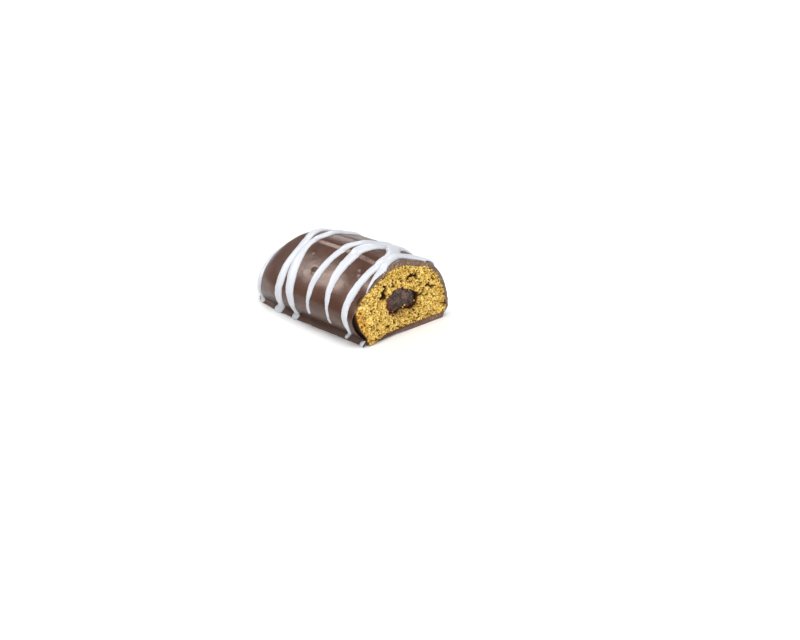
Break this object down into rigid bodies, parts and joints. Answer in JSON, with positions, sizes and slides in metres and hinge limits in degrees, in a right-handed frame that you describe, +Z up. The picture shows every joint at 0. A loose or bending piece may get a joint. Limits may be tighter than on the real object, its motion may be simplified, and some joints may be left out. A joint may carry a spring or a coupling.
{
  "type": "gingerbread cookie",
  "caption": "Cut half of a loaf-shaped filled gingerbread cookie in a chocolate coat with icing drizzle, showing the crumb and its jam middle",
  "frame": {"origin": "middle of the flat underside, halfway along the half cookie", "axes": "+X along the cookie, with the cut face at +X and the whole rounded end at -X; +Y across to the right as the cut face is seen from inside; +Z up to the ridge"},
  "size_m": [0.0488, 0.0376, 0.0229],
  "materials": {
    "chocolate": "satin dark chocolate, set thin, with white icing fused to it",
    "crumb": "matt porous golden crumb",
    "jam": "glossy dark fruit jam"
  },
  "bodies": {
    "root": {"chocolate_coating": "chocolate", "gingerbread": "crumb", "jam_filling": "jam"}
  },
  "joints": []
}
